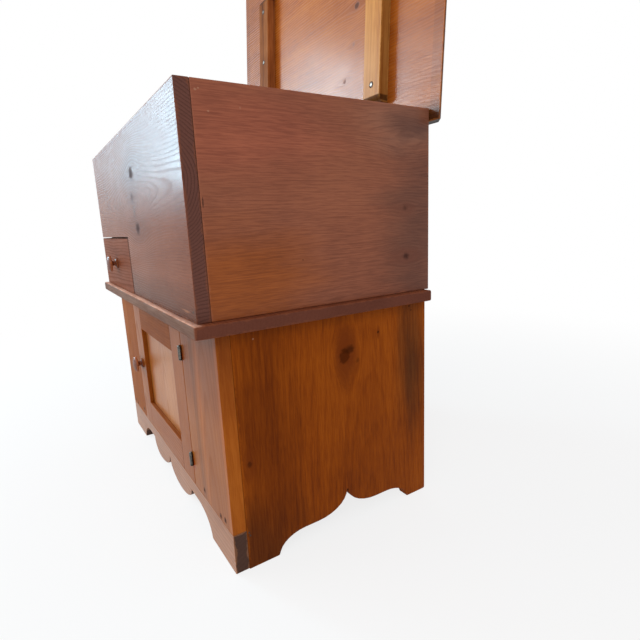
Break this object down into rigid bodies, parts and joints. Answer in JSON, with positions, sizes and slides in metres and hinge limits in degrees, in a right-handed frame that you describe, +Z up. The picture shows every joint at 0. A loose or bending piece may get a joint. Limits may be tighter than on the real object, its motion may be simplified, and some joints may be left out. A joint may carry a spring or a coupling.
{
  "type": "dry sink",
  "caption": "Dry sink: a deep lidded well with a small drawer, set on a cupboard with a framed door and scalloped feet.",
  "frame": {"origin": "on the floor, under the middle of the whole object's bounding box with the lid open", "axes": "+Z up, -Y towards someone who stands before the door, +X to their right"},
  "size_m": [0.856, 0.561, 1.3056],
  "materials": {
    "well_wood": "red-brown stain under a satin varnish",
    "side_wood": "amber-brown stain under a satin varnish",
    "front_wood": "paler red-brown stain under a satin varnish",
    "deck_wood": "dark brown stain under a satin varnish",
    "lid_wood": "rose-brown stain under a satin varnish",
    "batten_wood": "golden brown, thinly stained",
    "inner_wood": "plain unfinished pine",
    "knob_wood": "dark red-brown, glossy",
    "iron": "black iron, worn"
  },
  "bodies": {
    "case": {"case_apron": "front_wood", "case_back_board_1": "inner_wood", "case_back_board_2": "inner_wood", "case_back_board_3": "inner_wood", "case_back_board_4": "inner_wood", "case_floor": "inner_wood", "case_side_left": "side_wood", "case_side_right": "side_wood", "case_stile_left": "front_wood", "case_stile_right": "front_wood", "case_top_rail": "front_wood", "deck": "deck_wood", "door_hinge_lower_fixed_leaf": "iron", "door_hinge_lower_pin": "iron", "door_hinge_upper_fixed_leaf": "iron", "door_hinge_upper_pin": "iron", "drawer_housing_cleat": "inner_wood", "drawer_housing_side": "inner_wood", "drawer_housing_top": "inner_wood", "lid_hinge_left_fixed_leaf": "iron", "lid_hinge_left_pin": "iron", "lid_hinge_right_fixed_leaf": "iron", "lid_hinge_right_pin": "iron", "well_back": "well_wood", "well_front": "well_wood", "well_side_left": "well_wood", "well_side_right": "well_wood"},
    "door": {"door_hinge_lower_moving_leaf": "iron", "door_hinge_upper_moving_leaf": "iron", "door_knob": "knob_wood", "door_panel": "front_wood", "door_rail_bottom": "front_wood", "door_rail_top": "front_wood", "door_stile_hinge": "front_wood", "door_stile_lock": "front_wood"},
    "drawer": {"drawer_back": "inner_wood", "drawer_bottom": "inner_wood", "drawer_front": "well_wood", "drawer_knob": "knob_wood", "drawer_side_left": "inner_wood", "drawer_side_right": "inner_wood"},
    "lid": {"lid_batten_left": "batten_wood", "lid_batten_right": "batten_wood", "lid_hinge_left_moving_leaf": "iron", "lid_hinge_right_moving_leaf": "iron", "lid_panel": "lid_wood"}
  },
  "joints": [
    {"name": "door_swing", "type": "hinge", "parent": "case", "child": "door", "pos_m": [0.19825, -0.23243, 0.23905], "axis": [0, 0, 1], "range_deg": [0, 170]},
    {"name": "drawer_slide", "type": "slide", "parent": "case", "child": "drawer", "axis": [0, -1, 0], "range_m": [0, 0.3]},
    {"name": "lid_swing", "type": "hinge", "parent": "case", "child": "lid", "pos_m": [0, 0.22762, 0.7932], "axis": [1, 0, 0], "range_deg": [0, 93.81]}
  ]
}
